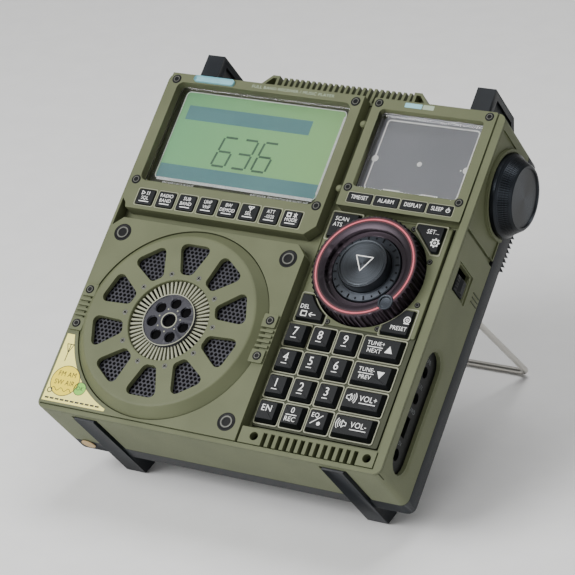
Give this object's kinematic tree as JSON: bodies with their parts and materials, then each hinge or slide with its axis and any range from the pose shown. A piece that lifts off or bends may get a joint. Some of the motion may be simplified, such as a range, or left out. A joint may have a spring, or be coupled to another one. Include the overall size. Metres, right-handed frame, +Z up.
{
  "type": "shortwave receiver",
  "caption": "Portable olive shortwave receiver leaning back on its wire bail, with display, clock window, round speaker grille, tuning dial, keypad and side knob.",
  "frame": {"origin": "centre of the set's bounding box on the ground that its heels and bail stand on", "axes": "+Z up, +X to the right of the front panel, +Y rearwards; the front leans back so that it faces up and towards -Y"},
  "size_m": [0.177, 0.1872, 0.1581],
  "materials": {
    "olive_plastic": "olive drab moulded plastic, satin, very fine grain",
    "black_plastic": "blue-black moulded plastic, satin",
    "key_black": "black key caps with printed pale legends",
    "knob_black": "black anodised metal, knurled rim and turned face",
    "window_glass": "clear display window",
    "lcd_glass": "green reflective liquid crystal display with dark digits",
    "clock_face": "grey display face with white outline marks",
    "bail_steel": "bright drawn steel wire",
    "speaker_mesh": "perforated dark steel",
    "speaker_paper": "black paper cone and dark magnet",
    "circuit_board": "green solder mask",
    "battery_cells": "sleeved battery cells",
    "ferrite": "dark sintered ferrite rod"
  },
  "bodies": {
    "case": {"front_frame": "olive_plastic", "main_housing": "olive_plastic", "rear_cover": "black_plastic", "battery_door": "black_plastic", "lcd_bezel": "olive_plastic", "lcd_window": "window_glass", "lcd_module": "lcd_glass", "clock_bezel": "olive_plastic", "clock_window": "window_glass", "clock_module": "clock_face", "speaker_panel": "olive_plastic", "speaker_mesh": "speaker_mesh", "speaker_driver": "speaker_paper", "key_mat": "black_plastic", "vent_bar": "olive_plastic", "jack_panel": "black_plastic", "main_board": "circuit_board", "battery_pack": "battery_cells", "ferrite_antenna": "ferrite"},
    "tuning_ring": {"tuning_ring": "knob_black"},
    "dial_knob": {"dial_knob": "knob_black"},
    "dial_button": {"dial_button": "knob_black"},
    "side_knob": {"side_knob": "knob_black"},
    "lock_switch": {"lock_switch": "black_plastic"},
    "bail_stand": {"bail_stand": "bail_steel"},
    "key_play": {"key_play": "key_black"},
    "key_band": {"key_band": "key_black"},
    "key_sub_band": {"key_sub_band": "key_black"},
    "key_uhf_vhf": {"key_uhf_vhf": "key_black"},
    "key_bandwidth": {"key_bandwidth": "key_black"},
    "key_antenna": {"key_antenna": "key_black"},
    "key_attenuator": {"key_attenuator": "key_black"},
    "key_mode": {"key_mode": "key_black"},
    "key_time": {"key_time": "key_black"},
    "key_alarm": {"key_alarm": "key_black"},
    "key_display": {"key_display": "key_black"},
    "key_sleep": {"key_sleep": "key_black"},
    "key_7": {"key_7": "key_black"},
    "key_8": {"key_8": "key_black"},
    "key_9": {"key_9": "key_black"},
    "key_tune_up": {"key_tune_up": "key_black"},
    "key_4": {"key_4": "key_black"},
    "key_5": {"key_5": "key_black"},
    "key_6": {"key_6": "key_black"},
    "key_tune_down": {"key_tune_down": "key_black"},
    "key_1": {"key_1": "key_black"},
    "key_2": {"key_2": "key_black"},
    "key_3": {"key_3": "key_black"},
    "key_volume_up": {"key_volume_up": "key_black"},
    "key_enter": {"key_enter": "key_black"},
    "key_0": {"key_0": "key_black"},
    "key_equaliser": {"key_equaliser": "key_black"},
    "key_volume_down": {"key_volume_down": "key_black"},
    "key_delete": {"key_delete": "key_black"},
    "key_scan": {"key_scan": "key_black"},
    "key_preset": {"key_preset": "key_black"},
    "key_setup": {"key_setup": "key_black"}
  },
  "joints": [
    {"name": "press_play", "type": "slide", "parent": "case", "child": "key_play", "axis": [0, 0.6388, -0.7694], "range_m": [0, 0.0008], "stiffness_N_per_m": 350, "springref_m": -0.0012},
    {"name": "press_band", "type": "slide", "parent": "case", "child": "key_band", "axis": [0, 0.6388, -0.7694], "range_m": [0, 0.0008], "stiffness_N_per_m": 350, "springref_m": -0.0012},
    {"name": "press_sub_band", "type": "slide", "parent": "case", "child": "key_sub_band", "axis": [0, 0.6388, -0.7694], "range_m": [0, 0.0008], "stiffness_N_per_m": 350, "springref_m": -0.0012},
    {"name": "press_uhf_vhf", "type": "slide", "parent": "case", "child": "key_uhf_vhf", "axis": [0, 0.6388, -0.7694], "range_m": [0, 0.0008], "stiffness_N_per_m": 350, "springref_m": -0.0012},
    {"name": "press_bandwidth", "type": "slide", "parent": "case", "child": "key_bandwidth", "axis": [0, 0.6388, -0.7694], "range_m": [0, 0.0008], "stiffness_N_per_m": 350, "springref_m": -0.0012},
    {"name": "press_antenna", "type": "slide", "parent": "case", "child": "key_antenna", "axis": [0, 0.6388, -0.7694], "range_m": [0, 0.0008], "stiffness_N_per_m": 350, "springref_m": -0.0012},
    {"name": "press_attenuator", "type": "slide", "parent": "case", "child": "key_attenuator", "axis": [0, 0.6388, -0.7694], "range_m": [0, 0.0008], "stiffness_N_per_m": 350, "springref_m": -0.0012},
    {"name": "press_mode", "type": "slide", "parent": "case", "child": "key_mode", "axis": [0, 0.6388, -0.7694], "range_m": [0, 0.0008], "stiffness_N_per_m": 350, "springref_m": -0.0012},
    {"name": "press_time", "type": "slide", "parent": "case", "child": "key_time", "axis": [0, 0.6388, -0.7694], "range_m": [0, 0.0008], "stiffness_N_per_m": 350, "springref_m": -0.0012},
    {"name": "press_alarm", "type": "slide", "parent": "case", "child": "key_alarm", "axis": [0, 0.6388, -0.7694], "range_m": [0, 0.0008], "stiffness_N_per_m": 350, "springref_m": -0.0012},
    {"name": "press_display", "type": "slide", "parent": "case", "child": "key_display", "axis": [0, 0.6388, -0.7694], "range_m": [0, 0.0008], "stiffness_N_per_m": 350, "springref_m": -0.0012},
    {"name": "press_sleep", "type": "slide", "parent": "case", "child": "key_sleep", "axis": [0, 0.6388, -0.7694], "range_m": [0, 0.0008], "stiffness_N_per_m": 350, "springref_m": -0.0012},
    {"name": "press_7", "type": "slide", "parent": "case", "child": "key_7", "axis": [0, 0.6388, -0.7694], "range_m": [0, 0.0008], "stiffness_N_per_m": 350, "springref_m": -0.0012},
    {"name": "press_8", "type": "slide", "parent": "case", "child": "key_8", "axis": [0, 0.6388, -0.7694], "range_m": [0, 0.0008], "stiffness_N_per_m": 350, "springref_m": -0.0012},
    {"name": "press_9", "type": "slide", "parent": "case", "child": "key_9", "axis": [0, 0.6388, -0.7694], "range_m": [0, 0.0008], "stiffness_N_per_m": 350, "springref_m": -0.0012},
    {"name": "press_tune_up", "type": "slide", "parent": "case", "child": "key_tune_up", "axis": [0, 0.6388, -0.7694], "range_m": [0, 0.0008], "stiffness_N_per_m": 350, "springref_m": -0.0012},
    {"name": "press_4", "type": "slide", "parent": "case", "child": "key_4", "axis": [0, 0.6388, -0.7694], "range_m": [0, 0.0008], "stiffness_N_per_m": 350, "springref_m": -0.0012},
    {"name": "press_5", "type": "slide", "parent": "case", "child": "key_5", "axis": [0, 0.6388, -0.7694], "range_m": [0, 0.0008], "stiffness_N_per_m": 350, "springref_m": -0.0012},
    {"name": "press_6", "type": "slide", "parent": "case", "child": "key_6", "axis": [0, 0.6388, -0.7694], "range_m": [0, 0.0008], "stiffness_N_per_m": 350, "springref_m": -0.0012},
    {"name": "press_tune_down", "type": "slide", "parent": "case", "child": "key_tune_down", "axis": [0, 0.6388, -0.7694], "range_m": [0, 0.0008], "stiffness_N_per_m": 350, "springref_m": -0.0012},
    {"name": "press_1", "type": "slide", "parent": "case", "child": "key_1", "axis": [0, 0.6388, -0.7694], "range_m": [0, 0.0008], "stiffness_N_per_m": 350, "springref_m": -0.0012},
    {"name": "press_2", "type": "slide", "parent": "case", "child": "key_2", "axis": [0, 0.6388, -0.7694], "range_m": [0, 0.0008], "stiffness_N_per_m": 350, "springref_m": -0.0012},
    {"name": "press_3", "type": "slide", "parent": "case", "child": "key_3", "axis": [0, 0.6388, -0.7694], "range_m": [0, 0.0008], "stiffness_N_per_m": 350, "springref_m": -0.0012},
    {"name": "press_volume_up", "type": "slide", "parent": "case", "child": "key_volume_up", "axis": [0, 0.6388, -0.7694], "range_m": [0, 0.0008], "stiffness_N_per_m": 350, "springref_m": -0.0012},
    {"name": "press_enter", "type": "slide", "parent": "case", "child": "key_enter", "axis": [0, 0.6388, -0.7694], "range_m": [0, 0.0008], "stiffness_N_per_m": 350, "springref_m": -0.0012},
    {"name": "press_0", "type": "slide", "parent": "case", "child": "key_0", "axis": [0, 0.6388, -0.7694], "range_m": [0, 0.0008], "stiffness_N_per_m": 350, "springref_m": -0.0012},
    {"name": "press_equaliser", "type": "slide", "parent": "case", "child": "key_equaliser", "axis": [0, 0.6388, -0.7694], "range_m": [0, 0.0008], "stiffness_N_per_m": 350, "springref_m": -0.0012},
    {"name": "press_volume_down", "type": "slide", "parent": "case", "child": "key_volume_down", "axis": [0, 0.6388, -0.7694], "range_m": [0, 0.0008], "stiffness_N_per_m": 350, "springref_m": -0.0012},
    {"name": "press_delete", "type": "slide", "parent": "case", "child": "key_delete", "axis": [0, 0.6388, -0.7694], "range_m": [0, 0.0008], "stiffness_N_per_m": 350, "springref_m": -0.0012},
    {"name": "press_scan", "type": "slide", "parent": "case", "child": "key_scan", "axis": [0, 0.6388, -0.7694], "range_m": [0, 0.0008], "stiffness_N_per_m": 350, "springref_m": -0.0012},
    {"name": "press_preset", "type": "slide", "parent": "case", "child": "key_preset", "axis": [0, 0.6388, -0.7694], "range_m": [0, 0.0008], "stiffness_N_per_m": 350, "springref_m": -0.0012},
    {"name": "press_setup", "type": "slide", "parent": "case", "child": "key_setup", "axis": [0, 0.6388, -0.7694], "range_m": [0, 0.0008], "stiffness_N_per_m": 350, "springref_m": -0.0012},
    {"name": "tune", "type": "hinge", "parent": "case", "child": "tuning_ring", "pos_m": [0.0412, -0.02609, 0.1025], "axis": [0, 0.6388, -0.7694], "continuous": true},
    {"name": "knob_turn", "type": "hinge", "parent": "case", "child": "dial_knob", "pos_m": [0.0412, -0.02609, 0.1025], "axis": [0, 0.6388, -0.7694], "continuous": true},
    {"name": "button_press", "type": "slide", "parent": "dial_knob", "child": "dial_button", "axis": [0, 0.6388, -0.7694], "range_m": [0, 0.0009], "stiffness_N_per_m": 450, "springref_m": -0.0012},
    {"name": "side_knob_turn", "type": "hinge", "parent": "case", "child": "side_knob", "pos_m": [0.0835, 0.03198, 0.11757], "axis": [1, 0, 0], "continuous": true},
    {"name": "lock_slide", "type": "slide", "parent": "case", "child": "lock_switch", "axis": [0, 0.7694, 0.6388], "range_m": [0, 0.003]},
    {"name": "bail_fold", "type": "hinge", "parent": "case", "child": "bail_stand", "pos_m": [-0.0045, 0.01574, 0.0764], "axis": [1, 0, 0], "range_deg": [-84, 0]}
  ]
}
